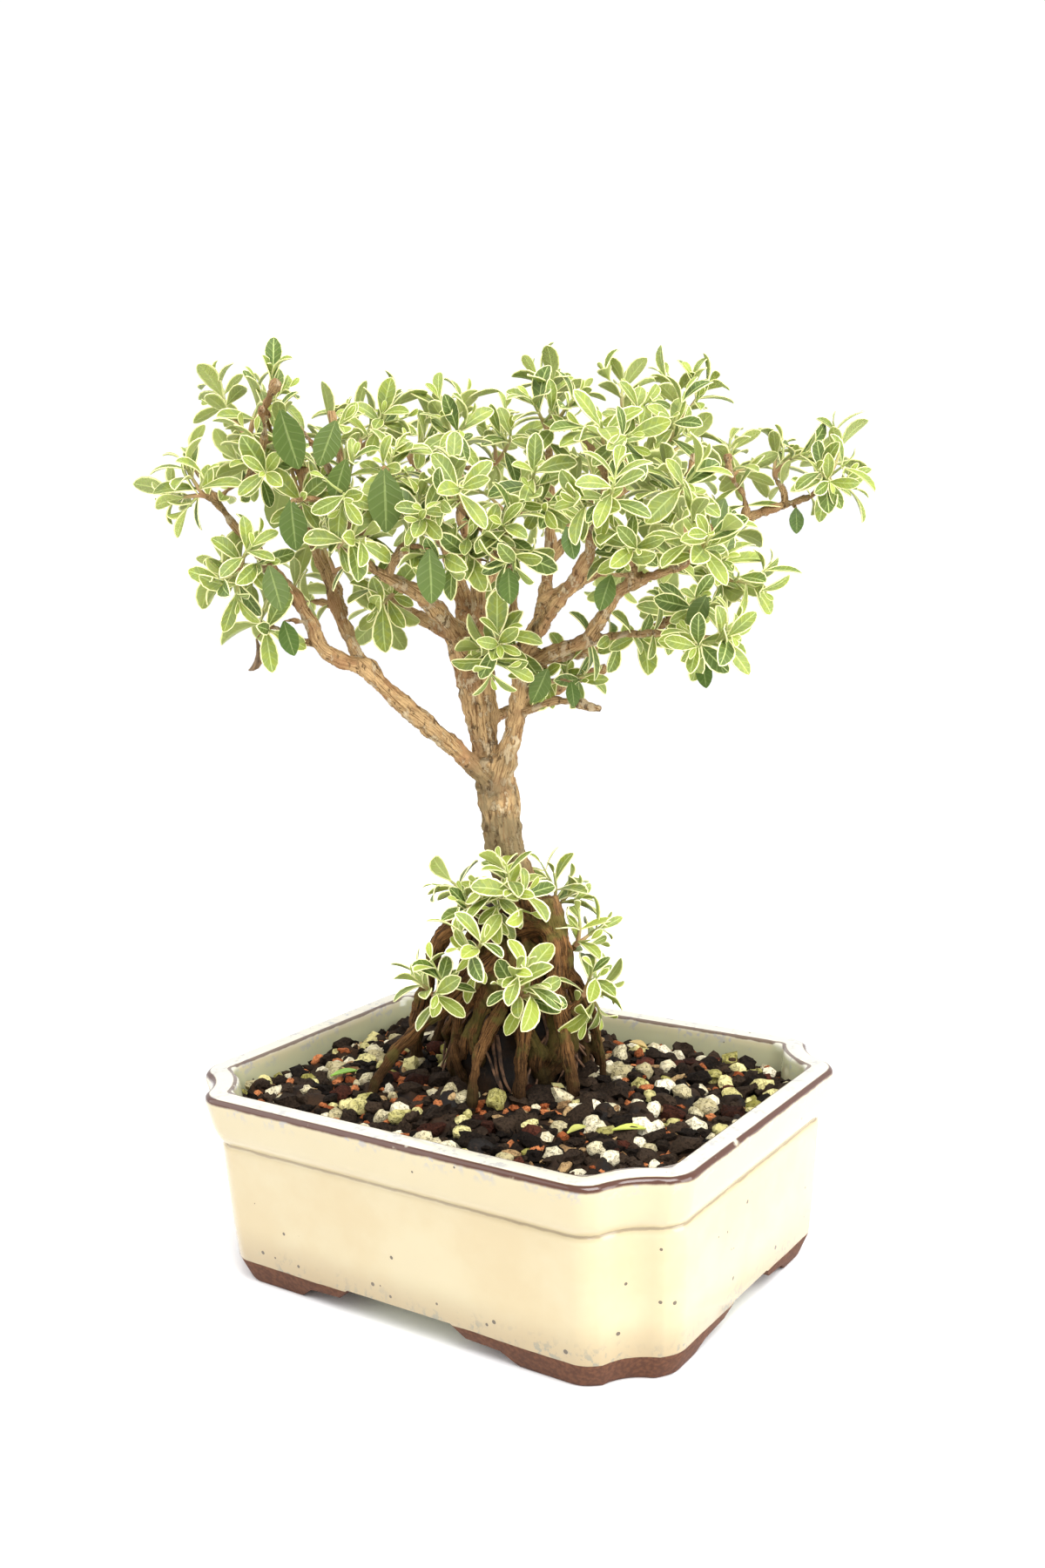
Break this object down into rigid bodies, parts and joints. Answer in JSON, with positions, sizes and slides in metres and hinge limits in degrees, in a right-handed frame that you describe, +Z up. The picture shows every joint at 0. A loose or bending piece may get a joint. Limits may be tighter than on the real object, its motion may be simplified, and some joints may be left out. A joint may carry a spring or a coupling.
{
  "type": "mount fuji serissa bonsai",
  "caption": "Variegated serissa bonsai with a forked trunk over bare arched roots, in a cream-glazed rectangular pot with scooped corners and stepped feet.",
  "frame": {"origin": "middle of the whole tree and pot seen from above, on the surface that the pot stands on", "axes": "+Z up the trunk, +X along the pot's long side, +Y across it towards the back of the pot"},
  "size_m": [0.168, 0.157, 0.2503],
  "materials": {
    "glaze": "cream gloss glaze with fine specks, thin brown edges and an unglazed brown foot",
    "screen": "black plastic mesh",
    "soil": "damp bark, pumice and lava grit",
    "bark": "tan fibrous bark that peels in strips",
    "leaf": "satin green leaves with cream margins"
  },
  "bodies": {
    "root": {"pot": "glaze", "soil": "soil", "drain_screen_left": "screen", "drain_screen_right": "screen", "tree": "bark", "canopy_left_01": "leaf", "canopy_left_02": "leaf", "canopy_left_03": "leaf", "canopy_left_04": "leaf", "canopy_left_05": "leaf", "canopy_left_06": "leaf", "canopy_left_07": "leaf", "canopy_left_08": "leaf", "canopy_left_09": "leaf", "canopy_left_10": "leaf", "canopy_left_11": "leaf", "canopy_left_12": "leaf", "canopy_middle_01": "leaf", "canopy_middle_02": "leaf", "canopy_middle_03": "leaf", "canopy_middle_04": "leaf", "canopy_middle_05": "leaf", "canopy_middle_06": "leaf", "canopy_middle_07": "leaf", "canopy_middle_08": "leaf", "canopy_middle_09": "leaf", "canopy_middle_10": "leaf", "canopy_middle_11": "leaf", "canopy_middle_12": "leaf", "canopy_middle_13": "leaf", "canopy_middle_14": "leaf", "canopy_right_01": "leaf", "canopy_right_02": "leaf", "canopy_right_03": "leaf", "canopy_right_04": "leaf", "canopy_right_05": "leaf", "canopy_right_06": "leaf", "canopy_right_07": "leaf", "canopy_right_08": "leaf", "canopy_right_09": "leaf", "canopy_right_10": "leaf", "canopy_right_11": "leaf", "canopy_right_12": "leaf", "canopy_right_13": "leaf", "canopy_right_14": "leaf", "canopy_right_15": "leaf", "canopy_right_16": "leaf", "canopy_right_17": "leaf", "canopy_right_18": "leaf", "canopy_right_19": "leaf", "canopy_right_20": "leaf", "root_shoot_01": "leaf", "root_shoot_02": "leaf", "root_shoot_03": "leaf", "root_shoot_04": "leaf", "root_shoot_05": "leaf", "root_shoot_06": "leaf", "root_shoot_07": "leaf", "root_shoot_08": "leaf", "root_shoot_09": "leaf"}
  },
  "joints": []
}
